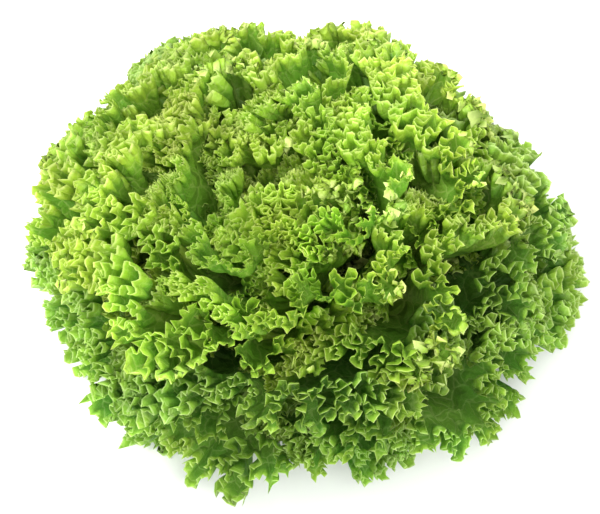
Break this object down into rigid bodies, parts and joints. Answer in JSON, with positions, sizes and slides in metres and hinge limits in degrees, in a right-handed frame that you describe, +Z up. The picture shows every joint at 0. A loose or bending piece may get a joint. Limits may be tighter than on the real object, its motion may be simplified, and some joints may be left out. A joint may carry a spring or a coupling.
{
  "type": "lollo bionda lettuce",
  "caption": "Cut head of lollo bionda lettuce: a short stem with a flat cut butt inside a dense rosette of broad leaves with tightly frilled green margins.",
  "frame": {"origin": "middle of the flat cut face of the stem, on the surface that the head rests on", "axes": "+Z up out of the head, -Z out of the cut face; -Y towards the side that the head is seen from, -X the side that the head leans to"},
  "size_m": [0.2922, 0.263, 0.1299],
  "materials": {
    "stem": "pale green-white, juicy cut stem with a faintly browned cut face",
    "outer_leaf": "mid green satin leaf, thin and slightly translucent, pale rib and pale thin margin",
    "middle_leaf": "fresh green satin leaf with yellow-green frilled margin",
    "heart_leaf": "pale yellow-green tender leaf with finely frilled margin"
  },
  "bodies": {
    "root": {"stem": "stem", "outer_leaf_01": "outer_leaf", "outer_leaf_02": "outer_leaf", "outer_leaf_03": "outer_leaf", "outer_leaf_04": "outer_leaf", "outer_leaf_05": "outer_leaf", "outer_leaf_06": "outer_leaf", "outer_leaf_07": "outer_leaf", "outer_leaf_08": "outer_leaf", "outer_leaf_09": "outer_leaf", "outer_leaf_10": "outer_leaf", "outer_leaf_11": "outer_leaf", "outer_leaf_12": "outer_leaf", "middle_leaf_01": "middle_leaf", "middle_leaf_02": "middle_leaf", "middle_leaf_03": "middle_leaf", "middle_leaf_04": "middle_leaf", "middle_leaf_05": "middle_leaf", "middle_leaf_06": "middle_leaf", "middle_leaf_07": "middle_leaf", "middle_leaf_08": "middle_leaf", "middle_leaf_09": "middle_leaf", "middle_leaf_10": "middle_leaf", "middle_leaf_11": "middle_leaf", "middle_leaf_12": "middle_leaf", "middle_leaf_13": "middle_leaf", "middle_leaf_14": "middle_leaf", "heart_leaf_01": "heart_leaf", "heart_leaf_02": "heart_leaf", "heart_leaf_03": "heart_leaf", "heart_leaf_04": "heart_leaf", "heart_leaf_05": "heart_leaf", "heart_leaf_06": "heart_leaf", "heart_leaf_07": "heart_leaf", "heart_leaf_08": "heart_leaf", "heart_leaf_09": "heart_leaf", "heart_leaf_10": "heart_leaf"}
  },
  "joints": []
}
